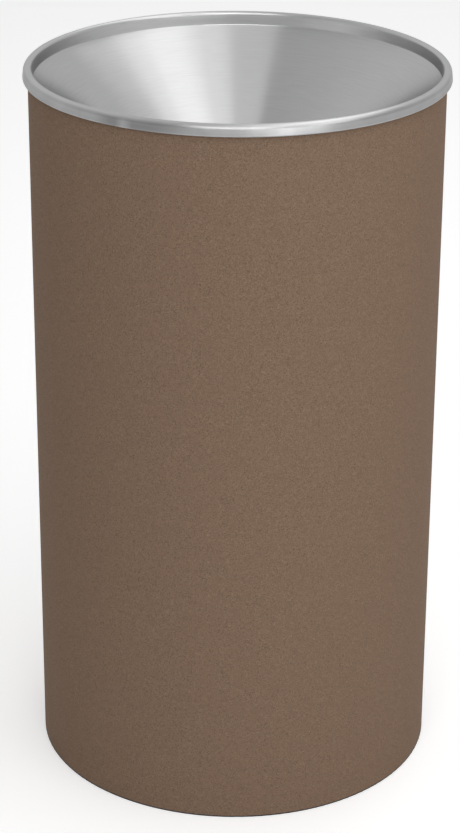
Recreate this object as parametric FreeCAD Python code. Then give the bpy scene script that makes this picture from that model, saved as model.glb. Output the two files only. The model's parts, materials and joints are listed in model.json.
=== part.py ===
import FreeCAD, Part
import math
import os

# A funnel-top trash receptacle: a rolled steel can with a pressed base, a spun aluminium funnel
# that drops into its mouth, and a galvanised liner with two folding grips that lifts out.
# Millimetres, +Z up, origin on the floor under the can's axis. The front faces -Y, so the sheet
# seams are at the back, and the two grips are at +X and -X.

# Can
overall_height = 680.0      # floor to the top of the funnel's rim
shell_diameter = 381.0      # outside of the painted can
shell_wall = 1.2
lap_width = 15.0            # inside overlap of the shell's sheet at the back seam
lap_end_gap = 20.0          # the overlap is cut short by this much at the shell's mouth
groove_width = 0.8          # the joint line that shows on the outside of the shell
groove_depth = 0.5
weld_mark = 7.0             # across one of the spot-weld marks along the seam
weld_depth = 0.25
weld_pitch = 48.0
weld_end_gap = 26.0         # first and last mark to the ends of the overlap, at least

# Floor ring, base pan and mouth trim
ring_flange = 1.5           # what shows under the shell's lower edge
ring_leg = 12.0
ring_wall = 1.8
ring_edge_round = 0.5
pan_wall = 1.2
pan_height = 22.0           # floor to the face that the liner stands on
pan_bend = 4.0
pan_recess_depth = 5.0
pan_ledge = 34.0            # flat width round the pan that carries the liner's foot
pan_recess_run = 10.0       # sloped width between the ledge and the recess
trim_wall = 1.0
trim_leg = 7.0

# Funnel
funnel_wall = 1.2
rim_drop = 10.5             # top of the rim to the lower edge of its outer leg
rim_round = 4.8             # from the top of the rim into its outer leg
collar_round = 3.0          # from the top of the rim into the collar
rim_clearance = 0.7         # outer leg to the mouth trim
collar_clearance = 0.4      # collar to the mouth trim
collar_depth = 12.7         # top of the rim to the crease where the cone starts
crease_round = 1.5
cone_slope = 41.0           # degrees below the horizontal
throat_diameter = 152.0
throat_bend = 6.0
throat_lip = 12.0
hem_gap = 0.6
hem_leaf = 5.0

# Liner
liner_clearance = 16.0      # liner to the shell, all round
liner_wall = 0.8
liner_headroom = 95.0       # top of the rim down to the top of the liner
liner_floor_height = 14.0   # foot to the liner's floor
liner_floor_bend = 4.0
liner_foot_fold = 7.0       # height of the floor's edge that is folded up outside the barrel
rim_wire = 4.0
curl_gap = 0.45             # the wire to the edge that is rolled over it
liner_seam_width = 9.0
liner_seam_proud = 1.2
liner_seam_end_gap = 12.0

# Folding grips
grip_wire = 5.0
grip_width = 116.0          # between the centres of a grip's legs
grip_drop = 52.0            # pivot to the middle of the grip's bar
grip_bend = 12.0
grip_wall_gap = 1.5         # a leg to the liner's wall
pivot_depth = 32.0          # top of the liner to the pivot
pivot_clearance = 0.06
wire_end = 2.0              # how far the wire shows past its lug
sleeve_diameter = 12.0
sleeve_length = 64.0
sleeve_round = 2.0
lug_width = 14.0
lug_side_gap = 3.0          # lug to the grip's leg
lug_plate = 2.0
lug_drop = 32.0             # pivot to the lower end of the lug's plate
knuckle_wall = 2.4
rivet_shank = 4.8
rivet_head = 9.0
rivet_head_height = 2.4
rivet_tail = 7.4
rivet_tail_height = 1.6
rivet_first = 13.0          # pivot to the upper rivet
rivet_pitch = 12.0
rivets_per_lug = 2
rivet_gap = 0.05

# Gaps
seat_gap = 0.2              # between sheets that are welded or pressed together
rest_gap = 0.3              # under pieces that lift off

# Radii and heights worked out from those
shell_radius = shell_diameter / 2
shell_bore = shell_radius - shell_wall
shell_bottom = ring_flange
shell_top = overall_height - funnel_wall - rest_gap - trim_wall - seat_gap
pan_radius = shell_bore - seat_gap
trim_outer = shell_radius + seat_gap + trim_wall
trim_bore = shell_bore - seat_gap - trim_wall
hem_radius = funnel_wall + hem_gap / 2
rim_radius = trim_outer + rim_clearance + 2 * hem_radius
collar_bore = trim_bore - collar_clearance - funnel_wall
crease_height = overall_height - collar_depth
throat_radius = throat_diameter / 2
throat_top = crease_height - (collar_bore - throat_radius) * math.tan(math.radians(cone_slope))
throat_bottom = throat_top - throat_lip
liner_radius = shell_bore - liner_clearance
liner_bore = liner_radius - liner_wall
liner_foot = pan_height + rest_gap
liner_fold_width = liner_wall + 2 * seat_gap
liner_bottom = liner_foot + liner_wall + liner_fold_width / 2
liner_top = overall_height - liner_headroom
curl_radius = rim_wire / 2 + curl_gap
curl_height = liner_top - liner_wall - curl_radius
grip_half = grip_width / 2
pivot_height = liner_top - pivot_depth
pivot_reach = math.sqrt(liner_bore ** 2 - (grip_half + grip_wire / 2) ** 2) - grip_wall_gap - grip_wire / 2
lug_outer = grip_half - grip_wire / 2 - lug_side_gap
lug_inner = lug_outer - lug_width
lug_middle = (lug_inner + lug_outer) / 2
lug_back = liner_bore - seat_gap
lug_face = lug_back - lug_plate
knuckle_radius = grip_wire / 2 + pivot_clearance + knuckle_wall
back_angle = 90.0

up = FreeCAD.Vector(0, 0, 1)
floor_centre = FreeCAD.Vector(0, 0, 0)


def section_point(radius, height):
    return FreeCAD.Vector(radius, 0, height)


def unit(start, end):
    return (end - start).normalize()


def rounded_edges(corners):
    # Straight runs through the corners, each a (point, bend radius), joined by tangent arcs.
    edges = []
    at = corners[0][0]
    for before, corner, after in zip(corners, corners[1:], corners[2:]):
        point, bend = corner
        arriving = unit(before[0], point)
        leaving = unit(point, after[0])
        setback = bend * math.tan(arriving.getAngle(leaving) / 2)
        enter = point - arriving * setback
        leave = point + leaving * setback
        inward = (leaving - arriving).normalize()
        centre_gap = math.hypot(bend, setback)
        middle = point + inward * (centre_gap - bend)
        if at.distanceToPoint(enter) > Part.Precision.confusion():
            edges.append(Part.LineSegment(at, enter).toShape())
        if bend > 0:
            edges.append(Part.Arc(enter, middle, leave).toShape())
        at = leave
    if at.distanceToPoint(corners[-1][0]) > Part.Precision.confusion():
        edges.append(Part.LineSegment(at, corners[-1][0]).toShape())
    return edges


def right_of(direction):
    return FreeCAD.Vector(direction.z, 0, -direction.x)


def shifted_corners(corners, distance):
    # The same run of corners moved to its right, with each bend kept concentric.
    points = [point for point, bend in corners]
    sides = [right_of(unit(a, b)) for a, b in zip(points, points[1:])]
    shifted = [(points[0] + sides[0] * distance, 0)]
    for (point, bend), before, after in zip(corners[1:], sides, sides[1:]):
        turns_right = before.cross(after).y > 0
        offset = (before + after) * (distance / (1 + before.dot(after)))
        shifted.append((point + offset, bend - distance if turns_right else bend + distance))
    shifted.append((points[-1] + sides[-1] * distance, 0))
    return shifted


def spun(edges):
    face = Part.Face(Part.Wire(Part.__sortEdges__(edges)))
    return Part.Solid(face.revolve(floor_centre, up, 360))


def bent_sheet(corners, wall):
    # A sheet turned round the axis. Its shown face follows the corners, with the metal to the right
    # of the way that they run, or to the left where the wall is negative.
    back = shifted_corners(corners, wall)
    edges = rounded_edges(corners) + rounded_edges(back)
    for front_end, back_end in ((corners[0], back[0]), (corners[-1], back[-1])):
        edges.append(Part.LineSegment(front_end[0], back_end[0]).toShape())
    return spun(edges)


def tube(outer, bore, bottom, top):
    base = FreeCAD.Vector(0, 0, bottom)
    return Part.makeCylinder(outer, top - bottom, base).cut(Part.makeCylinder(bore, top - bottom, base))


def back_strip(outer, bore, width, bottom, top):
    # A curved strip of that arc width, centred on the back.
    corners = [section_point(r, z) for r, z in ((bore, bottom), (outer, bottom), (outer, top), (bore, top))]
    face = Part.Face(Part.makePolygon(corners + corners[:1]))
    sweep = math.degrees(width / outer)
    strip = face.revolve(floor_centre, up, sweep)
    strip.rotate(floor_centre, up, back_angle - sweep / 2)
    return strip


def weld_marks(bottom, top):
    # Shallow round dents up the middle of the seam.
    ball_radius = (weld_mark ** 2 / 4 + weld_depth ** 2) / (2 * weld_depth)
    reach = shell_radius - weld_depth + ball_radius
    span = top - bottom - 2 * weld_end_gap
    count = int(span // weld_pitch) + 1
    first = (bottom + top - (count - 1) * weld_pitch) / 2
    return [Part.makeSphere(ball_radius, FreeCAD.Vector(0, reach, first + step * weld_pitch))
            for step in range(count)]


def body_shell():
    lap_bottom = pan_height
    lap_top = shell_top - lap_end_gap
    shell = tube(shell_radius, shell_bore, shell_bottom, shell_top)
    lap = back_strip(shell_bore, shell_bore - shell_wall, lap_width, lap_bottom, lap_top)
    groove = back_strip(shell_radius, shell_radius - groove_depth, groove_width, shell_bottom, shell_top)
    groove.rotate(floor_centre, up, math.degrees(lap_width / shell_bore) / 2)
    return shell.fuse(lap).cut([groove] + weld_marks(lap_bottom, lap_top)).removeSplitter()


def base_pan():
    ledge_bore = pan_radius - pan_ledge
    recess = pan_height - pan_recess_depth
    return bent_sheet([
        (section_point(0, recess), 0),
        (section_point(ledge_bore - pan_recess_run, recess), pan_bend),
        (section_point(ledge_bore, pan_height), pan_bend),
        (section_point(pan_radius, pan_height), pan_bend),
        (section_point(pan_radius, shell_bottom + seat_gap), 0),
    ], pan_wall)


def floor_ring():
    leg_outer = pan_radius - pan_wall - seat_gap
    leg_bore = leg_outer - ring_wall
    leg_top = ring_flange + ring_leg
    start = (section_point(leg_outer, 0), 0)
    return spun(rounded_edges([
        start,
        (section_point(shell_radius, 0), ring_edge_round),
        (section_point(shell_radius, ring_flange), ring_edge_round),
        (section_point(leg_outer, ring_flange), 0),
        (section_point(leg_outer, leg_top), ring_edge_round),
        (section_point(leg_bore, leg_top), ring_edge_round),
        (section_point(leg_bore, 0), ring_edge_round),
        start,
    ])).removeSplitter()


def mouth_trim():
    leg_end = shell_top - trim_leg
    trim_top = shell_top + seat_gap + trim_wall
    outside_bend = trim_wall + seat_gap
    return bent_sheet([
        (section_point(trim_bore, leg_end), 0),
        (section_point(trim_bore, trim_top), outside_bend),
        (section_point(trim_outer, trim_top), outside_bend),
        (section_point(trim_outer, leg_end), 0),
    ], trim_wall)


def funnel():
    leg_bottom = overall_height - rim_drop
    return bent_sheet([
        (section_point(throat_radius + 2 * hem_radius, throat_bottom + hem_leaf), 0),
        (section_point(throat_radius + 2 * hem_radius, throat_bottom), hem_radius),
        (section_point(throat_radius, throat_bottom), hem_radius),
        (section_point(throat_radius, throat_top), throat_bend),
        (section_point(collar_bore, crease_height), crease_round),
        (section_point(collar_bore, overall_height), collar_round),
        (section_point(rim_radius, overall_height), rim_round),
        (section_point(rim_radius, leg_bottom), hem_radius),
        (section_point(rim_radius - 2 * hem_radius, leg_bottom), hem_radius),
        (section_point(rim_radius - 2 * hem_radius, leg_bottom + hem_leaf), 0),
    ], funnel_wall)


def rivet_places():
    # Each rivet's angle round the liner and its height.
    tilt = math.degrees(math.asin(lug_middle / liner_bore))
    return [(side + turn, pivot_height - rivet_first - step * rivet_pitch)
            for side in (0, 180) for turn in (-tilt, tilt) for step in range(rivets_per_lug)]


def placed_on_wall(shape, angle, height):
    # Moves a shape made along +X at the floor to an angle and a height on the liner.
    shape.translate(FreeCAD.Vector(0, 0, height))
    shape.rotate(floor_centre, up, angle)
    return shape


def rivet_holes():
    along_x = FreeCAD.Vector(1, 0, 0)
    start = FreeCAD.Vector(lug_face - rivet_tail, 0, 0)
    length = liner_radius + rivet_head - start.x
    return [placed_on_wall(Part.makeCylinder(rivet_shank / 2 + rivet_gap, length, start, along_x), angle, height)
            for angle, height in rivet_places()]


def liner_barrel():
    curl_outer = liner_radius + 2 * curl_radius
    curl_top = curl_height + curl_radius
    curl_end = curl_height - curl_radius
    barrel = bent_sheet([
        (section_point(liner_radius, liner_bottom), 0),
        (section_point(liner_radius, curl_top), curl_radius),
        (section_point(curl_outer, curl_top), curl_radius),
        (section_point(curl_outer, curl_end), curl_radius),
        (section_point(liner_radius + curl_radius, curl_end), 0),
    ], -liner_wall)
    seam = back_strip(liner_radius + liner_seam_proud, liner_radius, liner_seam_width,
                      liner_foot + liner_seam_end_gap, curl_end - liner_seam_end_gap)
    return barrel.fuse(seam).cut(rivet_holes()).removeSplitter()


def liner_floor():
    # A raised floor. Its edge goes down inside the barrel, under its cut edge and up outside it.
    flange_radius = liner_bore - seat_gap
    fold_radius = liner_radius + seat_gap
    floor_height = liner_foot + liner_floor_height
    fold_bottom = liner_foot + liner_wall
    fold_bend = liner_fold_width / 2
    return bent_sheet([
        (section_point(0, floor_height), 0),
        (section_point(flange_radius, floor_height), liner_floor_bend),
        (section_point(flange_radius, fold_bottom), fold_bend),
        (section_point(fold_radius, fold_bottom), fold_bend),
        (section_point(fold_radius, liner_foot + liner_foot_fold), 0),
    ], liner_wall)


def liner_rim_wire():
    return Part.makeTorus(liner_radius + curl_radius, rim_wire / 2, FreeCAD.Vector(0, 0, curl_height), up)


def lug(middle):
    # One lug on the +X side: a plate curved to the liner's wall and a knuckle that holds the wire.
    edge = middle - lug_width / 2
    along_y = FreeCAD.Vector(0, 1, 0)
    plate_top = pivot_height + knuckle_radius
    plate_bottom = pivot_height - lug_drop
    plate_block = Part.makeBox(liner_bore, lug_width, plate_top - plate_bottom,
                               FreeCAD.Vector(0, edge, plate_bottom))
    plate = plate_block.common(tube(lug_back, lug_face, plate_bottom, plate_top))
    knuckle_end = FreeCAD.Vector(pivot_reach, edge, pivot_height)
    web_block = Part.makeBox(liner_bore, lug_width, 2 * knuckle_radius,
                             FreeCAD.Vector(pivot_reach, edge, pivot_height - knuckle_radius))
    web = web_block.common(Part.makeCylinder(lug_back, overall_height))
    knuckle = Part.makeCylinder(knuckle_radius, lug_width, knuckle_end, along_y)
    bore = Part.makeCylinder(grip_wire / 2 + pivot_clearance, lug_width, knuckle_end, along_y)
    return plate.fuse([web, knuckle]).cut([bore] + rivet_holes()).removeSplitter()


def both_sides(shape):
    # The piece at +X and its copy turned half round the axis to -X.
    other = shape.copy()
    other.rotate(floor_centre, up, 180)
    return shape, other


def grip_lugs():
    pair = [lug(-lug_middle), lug(lug_middle)]
    return Part.makeCompound([copy for one in pair for copy in both_sides(one)])


def rivet():
    # A domed rivet along +X: head outside the liner, flat tail on the lug's plate.
    head_radius = rivet_head / 2
    tail_radius = rivet_tail / 2
    along_x = FreeCAD.Vector(1, 0, 0)
    tail_seat = math.sqrt(lug_face ** 2 - tail_radius ** 2) - rivet_gap
    tail = Part.makeCylinder(tail_radius, rivet_tail_height,
                             FreeCAD.Vector(tail_seat - rivet_tail_height, 0, 0), along_x)
    head_seat = liner_radius + rivet_gap
    shank = Part.makeCylinder(rivet_shank / 2, head_seat - tail_seat, FreeCAD.Vector(tail_seat, 0, 0), along_x)
    dome_radius = (head_radius ** 2 + rivet_head_height ** 2) / (2 * rivet_head_height)
    dome = Part.makeSphere(dome_radius, FreeCAD.Vector(head_seat + rivet_head_height - dome_radius, 0, 0))
    head = dome.common(Part.makeCylinder(head_radius, rivet_head_height, FreeCAD.Vector(head_seat, 0, 0), along_x))
    return tail.fuse([shank, head]).removeSplitter()


def lug_rivets():
    return Part.makeCompound([placed_on_wall(rivet(), angle, height) for angle, height in rivet_places()])


def grip():
    # The +X grip, hanging down from its pivot.
    wire_start = lug_inner - wire_end
    pivot_bend = grip_wire / 2 + lug_side_gap
    bar = pivot_height - grip_drop
    stops = [(-wire_start, pivot_height, 0), (-grip_half, pivot_height, pivot_bend), (-grip_half, bar, grip_bend),
             (grip_half, bar, grip_bend), (grip_half, pivot_height, pivot_bend), (wire_start, pivot_height, 0)]
    corners = [(FreeCAD.Vector(pivot_reach, along, height), bend) for along, height, bend in stops]
    path = Part.Wire(rounded_edges(corners))
    section = Part.Wire(Part.makeCircle(grip_wire / 2, corners[0][0], FreeCAD.Vector(0, 1, 0)))
    wire = path.makePipeShell([section], True, False)
    print("grip wire volume over section times length:",
          round(wire.Volume / (math.pi * grip_wire ** 2 / 4 * path.Length), 5))
    return wire


def sleeve():
    # The moulded tube on the +X grip's bar.
    end = FreeCAD.Vector(pivot_reach, -sleeve_length / 2, pivot_height - grip_drop)
    along_y = FreeCAD.Vector(0, 1, 0)
    body = Part.makeCylinder(sleeve_diameter / 2, sleeve_length, end, along_y)
    ends = [edge for edge in body.Edges if isinstance(edge.Curve, Part.Circle)]
    body = body.makeFillet(sleeve_round, ends)
    return body.cut(Part.makeCylinder(grip_wire / 2 + seat_gap, sleeve_length, end, along_y))


def pieces():
    right_grip, left_grip = both_sides(grip())
    right_sleeve, left_sleeve = both_sides(sleeve())
    return {
        "body_shell": body_shell(),
        "base_pan": base_pan(),
        "floor_ring": floor_ring(),
        "mouth_trim": mouth_trim(),
        "funnel": funnel(),
        "liner_barrel": liner_barrel(),
        "liner_floor": liner_floor(),
        "liner_rim_wire": liner_rim_wire(),
        "grip_lugs": grip_lugs(),
        "lug_rivets": lug_rivets(),
        "right_grip": right_grip,
        "left_grip": left_grip,
        "right_grip_sleeve": right_sleeve,
        "left_grip_sleeve": left_sleeve,
    }


os.makedirs("parts", exist_ok=True)
for name, shape in pieces().items():
    shape.exportStep(os.path.join("parts", name + ".step"))
    print(name, "solids", len(shape.Solids), "valid", shape.isValid(), "litres", round(shape.Volume / 1e6, 4))
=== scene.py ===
import json
import math
import bpy
from mathutils import Euler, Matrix, Quaternion, Vector, noise


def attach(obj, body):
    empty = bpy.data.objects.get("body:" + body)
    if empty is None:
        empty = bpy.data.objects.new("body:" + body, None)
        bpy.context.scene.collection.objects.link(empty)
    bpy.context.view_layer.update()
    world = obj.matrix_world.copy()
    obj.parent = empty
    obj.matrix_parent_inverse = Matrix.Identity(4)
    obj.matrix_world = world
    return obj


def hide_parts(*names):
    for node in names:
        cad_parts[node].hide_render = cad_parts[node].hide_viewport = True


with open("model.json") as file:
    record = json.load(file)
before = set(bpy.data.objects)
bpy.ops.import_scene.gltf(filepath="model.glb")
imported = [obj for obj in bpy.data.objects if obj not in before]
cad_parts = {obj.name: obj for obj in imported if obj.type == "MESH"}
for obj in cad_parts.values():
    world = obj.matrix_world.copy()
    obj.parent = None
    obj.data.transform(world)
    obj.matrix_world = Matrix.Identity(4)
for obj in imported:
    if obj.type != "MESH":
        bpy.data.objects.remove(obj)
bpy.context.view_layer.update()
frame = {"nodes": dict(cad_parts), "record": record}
print("frame loaded:", len(frame["nodes"]), "CAD nodes")

mm = 0.001


def addToScene(name, data):
    thing = bpy.data.objects.new(name, data)
    bpy.context.scene.collection.objects.link(thing)
    return thing


# camera, fitted to the outline of the can in the photograph
shot = {
    "place": (0.0, -2.20846, 1.28923),
    "pitchDown": 23.467,        # degrees below the horizon
    "roll": 0.00636,            # radians
    "lens": 108.05,
    "sensor": 36.0,             # along the taller side of the picture
    "shiftX": -0.00652,
    "clipEnd": 200.0,
}


def setCamera():
    data = bpy.data.cameras.new("photoCamera")
    data.sensor_fit = "AUTO"
    data.sensor_width = shot["sensor"]
    data.lens = shot["lens"]
    data.shift_x = shot["shiftX"]
    data.clip_end = shot["clipEnd"]
    camera = addToScene("photoCamera", data)
    camera.location = shot["place"]
    camera.rotation_mode = "QUATERNION"
    tilt = Euler((math.radians(90 - shot["pitchDown"]), 0, 0)).to_quaternion()
    camera.rotation_quaternion = tilt @ Quaternion((0, 0, 1), shot["roll"])
    bpy.context.scene.camera = camera


setCamera()
print("camera set")


# small helpers for node trees; nodes are laid out in columns, in the order they are made
nodeGrid = {"perColumn": 5, "width": 220, "height": 260}


def addNode(tree, kind, **settings):
    column, row = divmod(len(tree.nodes), nodeGrid["perColumn"])
    node = tree.nodes.new(kind)
    node.location = (column * nodeGrid["width"], -row * nodeGrid["height"])
    for key, value in settings.items():
        setattr(node, key, value)
    return node


def plug(tree, source, target):
    tree.links.new(source, target)


def plugOrSet(tree, value, socket):
    if isinstance(value, bpy.types.NodeSocket):
        plug(tree, value, socket)
    else:
        socket.default_value = value


def math2(tree, operation, a, b):
    node = addNode(tree, "ShaderNodeMath", operation=operation)
    plugOrSet(tree, a, node.inputs[0])
    plugOrSet(tree, b, node.inputs[1])
    return node.outputs[0]


def vectorMath(tree, operation, *values):
    node = addNode(tree, "ShaderNodeVectorMath", operation=operation)
    for value, socket in zip(values, node.inputs):
        plugOrSet(tree, value, socket)
    return node.outputs


def weigh(tree, *terms):
    # sum of values times their shares
    total, *others = [math2(tree, "MULTIPLY", value, share) for value, share in terms]
    for other in others:
        total = math2(tree, "ADD", total, other)
    return total


def remap(tree, value, low, high, toLow, toHigh):
    node = addNode(tree, "ShaderNodeMapRange")
    plug(tree, value, node.inputs["Value"])
    node.inputs["From Min"].default_value = low
    node.inputs["From Max"].default_value = high
    node.inputs["To Min"].default_value = toLow
    node.inputs["To Max"].default_value = toHigh
    return node.outputs["Result"]


# colour sockets of a Mix node, which also has hidden ones of the same names
mixSockets = {"first": 6, "second": 7, "result": 2}


def blendColours(tree, factor, first, second):
    node = addNode(tree, "ShaderNodeMix", data_type="RGBA")
    plug(tree, factor, node.inputs["Factor"])
    for place, colour in (("first", first), ("second", second)):
        value = (*colour, 1) if isinstance(colour, tuple) else colour
        plugOrSet(tree, value, node.inputs[mixSockets[place]])
    return node.outputs[mixSockets["result"]]


def newGroup(name, values, outputs):
    group = bpy.data.node_groups.new(name, "ShaderNodeTree")
    group.interface.new_socket("Vector", in_out="INPUT", socket_type="NodeSocketVector")
    for label, default in values.items():
        socket = group.interface.new_socket(label, in_out="INPUT", socket_type="NodeSocketFloat")
        socket.default_value = default
    for label in outputs:
        group.interface.new_socket(label, in_out="OUTPUT", socket_type="NodeSocketFloat")
    entry = addNode(group, "NodeGroupInput")
    leave = addNode(group, "NodeGroupOutput")
    return group, entry.outputs, leave.inputs


def placeGroup(tree, group, where, settings):
    node = addNode(tree, "ShaderNodeGroup", node_tree=group)
    plug(tree, where, node.inputs["Vector"])
    for label, value in settings.items():
        node.inputs[label].default_value = value
    return node.outputs


# grain of a coat or a moulded skin: soft lumps, a finer tooth and a few bright specks
grainPattern = {
    "lumpRoughness": 0.6,
    "lumpDistortion": 0.9,      # hides the noise's own lattice
    "lumpRange": (0.2, 0.8),
    "toothScale": 1.4,          # this and speckScale are times the lumps per metre
    "toothDepth": -0.5,
    "speckScale": 0.16,
    "speckRange": (0.045, 0.075),
    "driftDetail": 4.0,
    "driftRange": (0.3, 0.7),
}


def makeGrainGroup():
    p = grainPattern
    group, given, out = newGroup(
        "lumpyGrain", {"Lumps per metre": 400.0, "Lump detail": 2.0, "Drift per metre": 30.0},
        ("Lump", "Tooth", "Drift", "Speck", "Height"))
    lumps = addNode(group, "ShaderNodeTexNoise")
    lumps.inputs["Roughness"].default_value = p["lumpRoughness"]
    lumps.inputs["Distortion"].default_value = p["lumpDistortion"]
    tooth = addNode(group, "ShaderNodeTexVoronoi", feature="SMOOTH_F1")
    drift = addNode(group, "ShaderNodeTexNoise")
    drift.inputs["Detail"].default_value = p["driftDetail"]
    specks = addNode(group, "ShaderNodeTexVoronoi")
    for node in (lumps, tooth, drift, specks):
        plug(group, given["Vector"], node.inputs["Vector"])
    plug(group, given["Lumps per metre"], lumps.inputs["Scale"])
    plug(group, given["Lump detail"], lumps.inputs["Detail"])
    plug(group, given["Drift per metre"], drift.inputs["Scale"])
    for node, scale in ((tooth, p["toothScale"]), (specks, p["speckScale"])):
        plug(group, math2(group, "MULTIPLY", given["Lumps per metre"], scale), node.inputs["Scale"])
    plug(group, remap(group, lumps.outputs[0], *p["lumpRange"], 0, 1), out["Lump"])
    plug(group, tooth.outputs["Distance"], out["Tooth"])
    plug(group, remap(group, drift.outputs[0], *p["driftRange"], 0, 1), out["Drift"])
    plug(group, remap(group, specks.outputs["Distance"], *p["speckRange"], 1, 0), out["Speck"])
    dents = math2(group, "MULTIPLY", tooth.outputs["Distance"], p["toothDepth"])
    plug(group, math2(group, "ADD", lumps.outputs[0], dents), out["Height"])
    return group


# broad smudges of handled metal
rubPattern = {"detail": 5.0, "distortion": 0.6, "range": (0.3, 0.7)}


def makeRubGroup():
    group, given, out = newGroup("rubMarks", {"Smudges per metre": 18.0}, ("Smudge",))
    smudge = addNode(group, "ShaderNodeTexNoise")
    smudge.inputs["Detail"].default_value = rubPattern["detail"]
    smudge.inputs["Distortion"].default_value = rubPattern["distortion"]
    plug(group, given["Vector"], smudge.inputs["Vector"])
    plug(group, given["Smudges per metre"], smudge.inputs["Scale"])
    plug(group, remap(group, smudge.outputs[0], *rubPattern["range"], 0, 1), out["Smudge"])
    return group


# lines left by turning: they run round the Z axis, so the pattern depends on radius and height
turnedPattern = {"detail": 2.0, "range": (0.3, 0.7), "bandScale": 0.12}


def makeTurnedGroup():
    group, given, out = newGroup(
        "turnedLines", {"Lines per metre": 900.0, "Length": 3.0}, ("Line", "Band", "Radius", "Turn"))
    parts = addNode(group, "ShaderNodeSeparateXYZ")
    plug(group, given["Vector"], parts.inputs[0])
    x, y, z = parts.outputs
    flat = vectorMath(group, "MULTIPLY", given["Vector"], (1, 1, 0))
    radius = vectorMath(group, "LENGTH", flat[0])["Value"]
    across = math2(group, "ADD", radius, z)
    cosine = math2(group, "DIVIDE", x, radius)
    sine = math2(group, "DIVIDE", y, radius)

    def streaks(scale):
        vector = addNode(group, "ShaderNodeCombineXYZ")
        step = math2(group, "MULTIPLY", given["Lines per metre"], scale)
        plug(group, math2(group, "MULTIPLY", cosine, given["Length"]), vector.inputs["X"])
        plug(group, math2(group, "MULTIPLY", sine, given["Length"]), vector.inputs["Y"])
        plug(group, math2(group, "MULTIPLY", across, step), vector.inputs["Z"])
        texture = addNode(group, "ShaderNodeTexNoise")
        texture.inputs["Scale"].default_value = 1.0
        texture.inputs["Detail"].default_value = turnedPattern["detail"]
        plug(group, vector.outputs[0], texture.inputs["Vector"])
        return remap(group, texture.outputs[0], *turnedPattern["range"], 0, 1)

    plug(group, streaks(1.0), out["Line"])
    plug(group, streaks(turnedPattern["bandScale"]), out["Band"])
    plug(group, radius, out["Radius"])
    turn = math2(group, "ARCTAN2", y, x)
    plug(group, math2(group, "MULTIPLY", turn, math.degrees(1)), out["Turn"])
    return group


grainGroup = makeGrainGroup()
rubGroup = makeRubGroup()
turnedGroup = makeTurnedGroup()
print("node groups made")


def startMaterial(name, metallic, specular=0.5):
    material = bpy.data.materials.new(name)
    material.use_nodes = True
    tree = material.node_tree
    surface = tree.nodes["Principled BSDF"].inputs
    surface["Metallic"].default_value = metallic
    surface["Specular IOR Level"].default_value = specular
    where = addNode(tree, "ShaderNodeTexCoord").outputs["Object"]
    return material, tree, surface, where


def bumpFrom(tree, height, finish, surface):
    bump = addNode(tree, "ShaderNodeBump")
    bump.inputs["Strength"].default_value = finish["bump"]
    bump.inputs["Distance"].default_value = finish["bumpDistance"]
    plug(tree, height, bump.inputs["Height"])
    plug(tree, bump.outputs[0], surface["Normal"])


# brown textured coat of the can
coat = {
    "light": (0.260, 0.176, 0.1225),
    "dark": (0.130, 0.0873, 0.0583),
    "rosy": (0.199, 0.126, 0.090),
    "rosyShare": 0.3,
    "speck": (0.34, 0.26, 0.20),
    "speckShare": 0.3,
    "lumpsPerMetre": 960.0,
    "lumpDetail": 0.0,          # lumps of one size only
    "driftPerMetre": 60.0,
    "toothRange": (0.0, 0.8),   # goes to the range of roughness
    "roughness": (0.68, 0.8),
    "bump": 0.28,
    "bumpDistance": 0.12 * mm,
    "specular": 0.05,
}


def coatMaterial():
    material, tree, surface, where = startMaterial("brownTexturedCoat", 0.0, coat["specular"])
    grain = placeGroup(tree, grainGroup, where, {
        "Lumps per metre": coat["lumpsPerMetre"], "Lump detail": coat["lumpDetail"],
        "Drift per metre": coat["driftPerMetre"]})
    base = blendColours(tree, grain["Lump"], coat["dark"], coat["light"])
    hue = math2(tree, "MULTIPLY", grain["Drift"], coat["rosyShare"])
    tinted = blendColours(tree, hue, base, coat["rosy"])
    specks = math2(tree, "MULTIPLY", grain["Speck"], coat["speckShare"])
    plug(tree, blendColours(tree, specks, tinted, coat["speck"]), surface["Base Color"])
    rough = remap(tree, grain["Tooth"], *coat["toothRange"], *coat["roughness"])
    plug(tree, rough, surface["Roughness"])
    bumpFrom(tree, grain["Height"], coat, surface)
    return material


# satin spun aluminium of the funnel
spun = {
    "pale": (0.67, 0.67, 0.674),
    "dull": (0.61, 0.61, 0.614),
    "lineShare": 0.85,          # of fine lines in the tone
    "bandShare": 0.15,          # of broad bands in it
    "legShadeAndWear": (0.34, 0.34, 0.344),  # painted shade: outer leg of the rim darkened to stand for a dimmer reflection
    "legRadius": (192.5 * mm, 195.0 * mm),
    "leastLegShade": 0.55,       # share of the leg's painted shade where the smudges are lightest
    "paintedDarkReflection": (0.275, 0.275, 0.278),  # painted dark reflections at the near left of the leg
    "darkReflectionRadius": (193.8 * mm, 194.8 * mm),
    "marks": (((-129.0, -124.0), (-122.2, -120.2)),  # where each starts and ends, in degrees
              ((-119.6, -117.2), (-112.0, -96.0))),
    "edgeTint": (0.72, 0.72, 0.72),
    "linesPerMetre": 1000.0,
    "lineLength": 6.0,
    "roughness": (0.275, 0.3),
    "smudgeShare": 0.5,         # of smudges in the roughness, and lines are the rest
    "rimRadius": (186.0 * mm, 186.5 * mm),
    "rimRoughness": 0.06,       # added on the collar and the rim, which are handled more
    "anisotropic": (1.0, 0.75),  # on the cone, and on the collar and the rim
    "sheenTurn": 0.25,          # a quarter turn, so that the sheen lies across the lines
    "bump": 0.045,
    "bumpDistance": 0.02 * mm,
}


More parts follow.
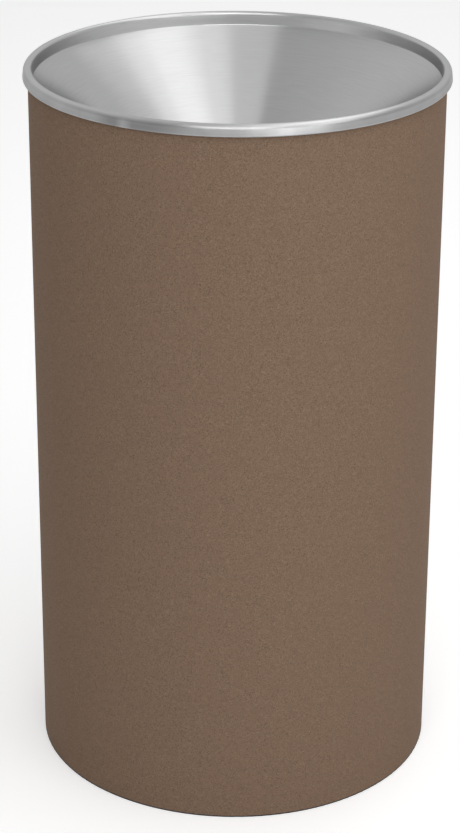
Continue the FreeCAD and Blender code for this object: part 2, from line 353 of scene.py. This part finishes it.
def spunMaterial():
    material, tree, surface, where = startMaterial("spunAluminium", 1.0)
    lines = placeGroup(tree, turnedGroup, where, {
        "Lines per metre": spun["linesPerMetre"], "Length": spun["lineLength"]})
    smudge = placeGroup(tree, rubGroup, where, {})["Smudge"]

    tone = weigh(tree, (lines["Line"], spun["lineShare"]), (lines["Band"], spun["bandShare"]))
    bright = blendColours(tree, tone, spun["dull"], spun["pale"])
    # painted shade on the outer leg of the rim in place of a dimmer reflection, varied by smudges
    onLeg = remap(tree, lines["Radius"], *spun["legRadius"], 0, 1)
    legShadeAndWear = remap(tree, smudge, 0, 1, spun["leastLegShade"], 1)
    leg = blendColours(tree, math2(tree, "MULTIPLY", onLeg, legShadeAndWear), bright, spun["legShadeAndWear"])
    # painted dark reflections: two darker spans of turn on the lower leg at the near left
    paintedDarkReflection = 0.0
    for (rise, risen), (fall, fallen) in spun["marks"]:
        into = remap(tree, lines["Turn"], rise, risen, 0, 1)
        outOf = remap(tree, lines["Turn"], fall, fallen, 1, 0)
        paintedDarkReflection = math2(tree, "ADD", math2(tree, "MULTIPLY", into, outOf), paintedDarkReflection)
    lowOnLeg = remap(tree, lines["Radius"], *spun["darkReflectionRadius"], 0, 1)
    paintedDarkReflection = math2(tree, "MULTIPLY", paintedDarkReflection, lowOnLeg)
    plug(tree, blendColours(tree, paintedDarkReflection, leg, spun["paintedDarkReflection"]), surface["Base Color"])

    dulled = weigh(tree, (smudge, spun["smudgeShare"]), (lines["Line"], 1 - spun["smudgeShare"]))
    plain = remap(tree, dulled, 0, 1, *spun["roughness"])
    onRim = remap(tree, lines["Radius"], *spun["rimRadius"], 0, 1)
    worn = math2(tree, "MULTIPLY", onRim, spun["rimRoughness"])
    plug(tree, math2(tree, "ADD", plain, worn), surface["Roughness"])
    plug(tree, remap(tree, onRim, 0, 1, *spun["anisotropic"]), surface["Anisotropic"])
    tangent = addNode(tree, "ShaderNodeTangent", direction_type="RADIAL", axis="Z")
    plug(tree, tangent.outputs[0], surface["Tangent"])
    surface["Anisotropic Rotation"].default_value = spun["sheenTurn"]
    surface["Specular Tint"].default_value = (*spun["edgeTint"], 1)
    bumpFrom(tree, lines["Line"], spun, surface)
    return material


# hot-dipped zinc: each spangle is a crystal that faces its own way
galvanised = {
    "metallic": 0.9,
    "pale": (0.65, 0.66, 0.67),
    "dull": (0.45, 0.46, 0.475),
    "spanglesPerMetre": 105.0,
    "warpScale": 1.5,           # times the spangles per metre
    "ragged": (0.006, 0.006, 0.006),  # how far the outline of a spangle strays, in metres
    "facing": (0.5, 0.5, 0.5),  # middle of the range that a crystal's direction is drawn from
    "crystalShare": 0.42,       # in the tone
    "smudgeShare": 0.26,
    "facetShare": 0.95,
    "toneRange": (-0.1, 0.9),
    "roughness": (0.32, 0.5),
    "bump": 0.5,
    "bumpDistance": 0.8 * mm,
}


def galvanisedMaterial():
    g = galvanised
    material, tree, surface, where = startMaterial("galvanisedSheet", g["metallic"])
    warp = addNode(tree, "ShaderNodeTexNoise")
    warp.inputs["Scale"].default_value = g["spanglesPerMetre"] * g["warpScale"]
    plug(tree, where, warp.inputs["Vector"])
    strayed = vectorMath(tree, "MULTIPLY_ADD", warp.outputs["Color"], g["ragged"], where)[0]
    spangle = addNode(tree, "ShaderNodeTexVoronoi")
    spangle.inputs["Scale"].default_value = g["spanglesPerMetre"]
    plug(tree, strayed, spangle.inputs["Vector"])
    crystal = addNode(tree, "ShaderNodeSeparateColor")
    plug(tree, spangle.outputs["Color"], crystal.inputs[0])

    # a ramp across each crystal, in a direction of its own
    fromMiddle = vectorMath(tree, "SUBTRACT", strayed, spangle.outputs["Position"])[0]
    facing = vectorMath(tree, "SUBTRACT", spangle.outputs["Color"], g["facing"])[0]
    slope = vectorMath(tree, "DOT_PRODUCT", fromMiddle, facing)["Value"]
    facet = math2(tree, "MULTIPLY", slope, g["spanglesPerMetre"])

    smudge = placeGroup(tree, rubGroup, where, {})["Smudge"]
    tone = weigh(tree, (crystal.outputs[0], g["crystalShare"]), (smudge, g["smudgeShare"]),
                 (facet, g["facetShare"]))
    tone = remap(tree, tone, *g["toneRange"], 0, 1)
    plug(tree, blendColours(tree, tone, g["dull"], g["pale"]), surface["Base Color"])
    plug(tree, remap(tree, crystal.outputs[1], 0, 1, *g["roughness"]), surface["Roughness"])
    bumpFrom(tree, facet, g, surface)
    return material


# bright zinc plate, on the wire and on the pressed lugs
zincPlate = {"smudgesPerMetre": 70.0, "lumpsPerMetre": 1400.0, "tintShare": 0.5,
             "bump": 0.06, "bumpDistance": 0.03 * mm}
zincWire = {"pale": (0.70, 0.71, 0.73), "dull": (0.52, 0.53, 0.56),
            "tint": (0.62, 0.61, 0.56), "roughness": (0.22, 0.38)}
zincSteel = {"pale": (0.64, 0.65, 0.67), "dull": (0.48, 0.49, 0.52),
             "tint": (0.58, 0.57, 0.52), "roughness": (0.3, 0.46)}


def zincMaterial(name, finish):
    material, tree, surface, where = startMaterial(name, 1.0)
    smudge = placeGroup(tree, rubGroup, where,
                        {"Smudges per metre": zincPlate["smudgesPerMetre"]})["Smudge"]
    grain = placeGroup(tree, grainGroup, where, {"Lumps per metre": zincPlate["lumpsPerMetre"]})
    base = blendColours(tree, smudge, finish["dull"], finish["pale"])
    haze = math2(tree, "MULTIPLY", grain["Drift"], zincPlate["tintShare"])
    plug(tree, blendColours(tree, haze, base, finish["tint"]), surface["Base Color"])
    plug(tree, remap(tree, smudge, 0, 1, *finish["roughness"]), surface["Roughness"])
    bumpFrom(tree, grain["Height"], zincPlate, surface)
    return material


# black vinyl of the floor ring and the mouth trim, and the moulded plastic of the grips
dust = {"driftShare": 0.6, "lumpShare": 0.4}
vinyl = {"dark": (0.012, 0.012, 0.013), "light": (0.026, 0.026, 0.027), "roughness": (0.5, 0.66),
         "lumpsPerMetre": 1100.0, "bump": 0.12, "bumpDistance": 0.06 * mm, "specular": 0.4}
gripPlastic = {"dark": (0.014, 0.014, 0.015), "light": (0.03, 0.03, 0.031), "roughness": (0.4, 0.58),
               "lumpsPerMetre": 1500.0, "bump": 0.3, "bumpDistance": 0.06 * mm, "specular": 0.5}


def blackMaterial(name, finish):
    material, tree, surface, where = startMaterial(name, 0.0, finish["specular"])
    grain = placeGroup(tree, grainGroup, where, {"Lumps per metre": finish["lumpsPerMetre"]})
    dusty = weigh(tree, (grain["Drift"], dust["driftShare"]), (grain["Lump"], dust["lumpShare"]))
    plug(tree, blendColours(tree, dusty, finish["dark"], finish["light"]), surface["Base Color"])
    plug(tree, remap(tree, grain["Drift"], 0, 1, *finish["roughness"]), surface["Roughness"])
    bumpFrom(tree, grain["Height"], finish, surface)
    return material


finishes = {
    "painted_steel": coatMaterial(),
    "spun_aluminium": spunMaterial(),
    "galvanised_steel": galvanisedMaterial(),
    "zinc_plated_wire": zincMaterial("zincWire", zincWire),
    "zinc_plated_steel": zincMaterial("zincSteel", zincSteel),
    "black_vinyl": blackMaterial("blackVinyl", vinyl),
    "grip_plastic": blackMaterial("gripPlastic", gripPlastic),
}
for part in frame["record"]["subparts"]:
    node = frame["nodes"][part["node"]]
    for holder in node.material_slots:
        holder.material = finishes[part["material_slot"]]
print("materials made:", len(finishes))


# the funnel, turned finer than the CAD solid and a little uneven, as hand-spun metal is; in mm
funnelShape = {
    "wall": 1.2,
    "top": 680.0,
    "rimRadius": 195.4,
    "rimDrop": 10.5,
    "rimRound": 4.8,
    "collarRound": 3.0,
    "collarBore": 186.5,
    "crease": 667.3,
    "creaseRound": 1.5,
    "throatRadius": 76.0,
    "throatTop": 571.244,
    "throatBend": 6.0,
    "throatBottom": 559.244,
    "hemRadius": 1.5,
    "hemLeaf": 5.0,
    "bendSteps": 8,
    "longestStep": 6.0,
    "shortestStep": 1e-4,
    "around": 384,
    "legStart": 3.0,            # past the bore, where the leg's form starts; whole at twice that
    "legLean": 0.7,             # the leg's upper end stands in by this much
    "waver": 0.16,              # how far the rim's outer leg is pressed in at most
    "waverRound": 26.0 / 6,     # radius of the rim in noise cells
    "waverRise": 0.05,          # noise cells per millimetre of height
    "fineWaver": 3.1,           # cells of the finer waver for one of the broad
    "waverShares": (0.6, 0.4),  # of broad and fine
}


def zeroToOne(value):
    return min(1.0, max(0.0, value))


def roundedRun(corners, steps):
    # straight runs through (radius, height, bend) corners, with arcs at the bends
    points = [Vector(corners[0][:2])]
    for before, corner, after in zip(corners, corners[1:], corners[2:]):
        at = Vector(corner[:2])
        arriving = (at - Vector(before[:2])).normalized()
        leaving = (Vector(after[:2]) - at).normalized()
        turn = arriving.angle(leaving)
        setback = corner[2] * math.tan(turn / 2)
        centre = at + (leaving - arriving).normalized() * math.hypot(corner[2], setback)
        start = at - arriving * setback - centre
        side = 1 if arriving.x * leaving.y - arriving.y * leaving.x > 0 else -1
        for step in range(steps + 1):
            angle = side * turn * step / steps
            c, s = math.cos(angle), math.sin(angle)
            points.append(centre + Vector((start.x * c - start.y * s, start.x * s + start.y * c)))
    points.append(Vector(corners[-1][:2]))
    return points


def offsetRun(corners, distance):
    # the other face of the sheet: each corner moved to the right of the run
    points = [Vector(c[:2]) for c in corners]
    ways = [(b - a).normalized() for a, b in zip(points, points[1:])]
    sides = [Vector((w.y, -w.x)) for w in ways]
    moved = [(*(points[0] + sides[0] * distance), 0)]
    for i in range(1, len(points) - 1):
        first, second = sides[i - 1], sides[i]
        right = ways[i - 1].x * ways[i].y - ways[i - 1].y * ways[i].x < 0
        shift = (first + second) * (distance / (1 + first.dot(second)))
        moved.append((*(points[i] + shift), corners[i][2] + (-distance if right else distance)))
    moved.append((*(points[-1] + sides[-1] * distance), 0))
    return moved


def splitLong(points, longest):
    filled = [points[0]]
    for a, b in zip(points, points[1:]):
        count = max(1, math.ceil((b - a).length / longest))
        filled += [a.lerp(b, i / count) for i in range(1, count + 1)]
    return filled


def funnelSection():
    s = funnelShape
    hem = s["throatRadius"] + 2 * s["hemRadius"]
    legBottom = s["top"] - s["rimDrop"]
    legInner = s["rimRadius"] - 2 * s["hemRadius"]
    corners = [
        (hem, s["throatBottom"] + s["hemLeaf"], 0),
        (hem, s["throatBottom"], s["hemRadius"]),
        (s["throatRadius"], s["throatBottom"], s["hemRadius"]),
        (s["throatRadius"], s["throatTop"], s["throatBend"]),
        (s["collarBore"], s["crease"], s["creaseRound"]),
        (s["collarBore"], s["top"], s["collarRound"]),
        (s["rimRadius"], s["top"], s["rimRound"]),
        (s["rimRadius"], legBottom, s["hemRadius"]),
        (legInner, legBottom, s["hemRadius"]),
        (legInner, legBottom + s["hemLeaf"], 0),
    ]
    shown = splitLong(roundedRun(corners, s["bendSteps"]), s["longestStep"])
    hidden = splitLong(roundedRun(offsetRun(corners, s["wall"]), s["bendSteps"]), s["longestStep"])
    loop = shown + hidden[::-1]
    return [p for i, p in enumerate(loop) if (p - loop[i - 1]).length > s["shortestStep"]]


def unevenRadius(p, c, sn):
    # the outer leg leans in toward its upper end and is pressed in a little here and there
    s = funnelShape
    seed = Vector((c * s["waverRound"], sn * s["waverRound"], p.y * s["waverRise"]))
    broad, fine = s["waverShares"]
    press = (noise.noise(seed) * broad + noise.noise(seed * s["fineWaver"]) * fine) * 0.5 + 0.5
    outer = zeroToOne((p.x - s["collarBore"] - s["legStart"]) / s["legStart"])
    rise = p.y - (s["top"] - s["rimDrop"])
    lean = s["legLean"] * zeroToOne(rise / (s["rimDrop"] - s["rimRound"]))
    return p.x - (s["waver"] * press + lean) * outer


def makeFunnel():
    section = funnelSection()
    around, ring = funnelShape["around"], len(section)
    points, faces = [], []
    for turn in range(around):
        angle = 2 * math.pi * turn / around
        c, sn = math.cos(angle), math.sin(angle)
        for p in section:
            r = unevenRadius(p, c, sn)
            points.append((r * c * mm, r * sn * mm, p.y * mm))
        here, there = turn * ring, (turn + 1) % around * ring
        for i in range(ring):
            j = (i + 1) % ring
            faces.append((here + i, there + i, there + j, here + j))
    mesh = bpy.data.meshes.new("funnelSkin")
    mesh.from_pydata(points, [], faces)
    mesh.validate()
    mesh.shade_smooth()
    mesh.materials.append(finishes["spun_aluminium"])
    piece = addToScene("funnelSkin", mesh)
    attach(piece, "funnel_top")
    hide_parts("funnel")
    return piece


funnelSkin = makeFunnel()
print("funnel turned:", len(funnelSkin.data.polygons), "faces")


# floor, lamps and the grey of the room
studio = {
    "floorSize": 40.0,
    "floorColour": (0.90, 0.90, 0.90),
    "floorLift": 0.318,         # brings the floor near white where it is seen
    "room": 0.518,              # grey of the room overhead
    "roomTilt": (-0.03, 0.205, 0.012),  # brighter to the back
}
lamps = {
    "overheadWide": {"place": (0.775, 0.25, 2.75), "aim": (0.775, 0.25, 0.0),
                     "size": (1.35, 4.2), "power": 6.3},
    "overheadCore": {"place": (0.8, 0.25, 2.7), "aim": (0.8, 0.25, 0.0),
                     "size": (0.7, 4.2), "power": 6.9},
    "lowFront": {"place": (0.9, -3.05, 0.95), "aim": (0.0, 0.0, 0.6),
                 "size": (1.1, 1.6), "power": 6.9},
    "lowFrontRight": {"place": (1.75, -2.65, 0.95), "aim": (0.0, 0.0, 0.6),
                      "size": (1.3, 1.6), "power": 10.8},
    "midRight": {"place": (2.1, -1.65, 2.35), "aim": (0.0, 0.0, 0.6),
                 "size": (1.3, 1.5), "power": 9.0},
    "topRight": {"place": (2.0, -0.35, 2.75), "aim": (2.0, -0.35, 0.0),
                 "size": (1.5, 1.5), "power": 4.8},
    "frontHigh": {"place": (-0.14, -2.75, 2.75), "aim": (0.0, 0.0, 0.4),
                  "size": (2.3, 1.9), "power": 32.5},
}


def floorMaterial():
    material = bpy.data.materials.new("paleFloor")
    material.use_nodes = True
    tree = material.node_tree
    tree.nodes.clear()
    matt = addNode(tree, "ShaderNodeBsdfDiffuse")
    matt.inputs["Color"].default_value = (*studio["floorColour"], 1)
    ray = addNode(tree, "ShaderNodeLightPath").outputs
    seen = math2(tree, "ADD", ray["Is Camera Ray"], ray["Is Glossy Ray"])
    seen = math2(tree, "ADD", seen, ray["Is Transmission Ray"])
    lift = addNode(tree, "ShaderNodeEmission")
    plug(tree, math2(tree, "MULTIPLY", seen, studio["floorLift"]), lift.inputs["Strength"])
    both = addNode(tree, "ShaderNodeAddShader")
    plug(tree, matt.outputs[0], both.inputs[0])
    plug(tree, lift.outputs[0], both.inputs[1])
    out = addNode(tree, "ShaderNodeOutputMaterial")
    plug(tree, both.outputs[0], out.inputs["Surface"])
    return material


def makeFloor():
    half = studio["floorSize"] / 2
    corners = [(-half, -half, 0), (half, -half, 0), (half, half, 0), (-half, half, 0)]
    mesh = bpy.data.meshes.new("floor")
    mesh.from_pydata(corners, [], [(0, 1, 2, 3)])
    mesh.materials.append(floorMaterial())
    floor = addToScene("floor", mesh)


def makeLamps():
    for name, lamp in lamps.items():
        data = bpy.data.lights.new(name, "AREA")
        data.shape = "RECTANGLE"
        data.size, data.size_y = lamp["size"]
        data.energy = lamp["power"]
        thing = addToScene(name, data)
        thing.location = lamp["place"]
        thing.rotation_mode = "QUATERNION"
        toward = Vector(lamp["aim"]) - Vector(lamp["place"])
        thing.rotation_quaternion = toward.to_track_quat("-Z", "Y")
        thing.visible_camera = False


def makeRoom():
    world = bpy.data.worlds.new("room")
    world.use_nodes = True
    tree = world.node_tree
    toward = addNode(tree, "ShaderNodeTexCoord").outputs["Generated"]
    tilt = vectorMath(tree, "DOT_PRODUCT", toward, studio["roomTilt"])["Value"]
    grey = math2(tree, "ADD", tilt, studio["room"])
    plug(tree, grey, tree.nodes["Background"].inputs["Color"])
    bpy.context.scene.world = world


makeFloor()
makeLamps()
makeRoom()
bpy.context.scene.view_settings.view_transform = "Standard"
print("studio set")
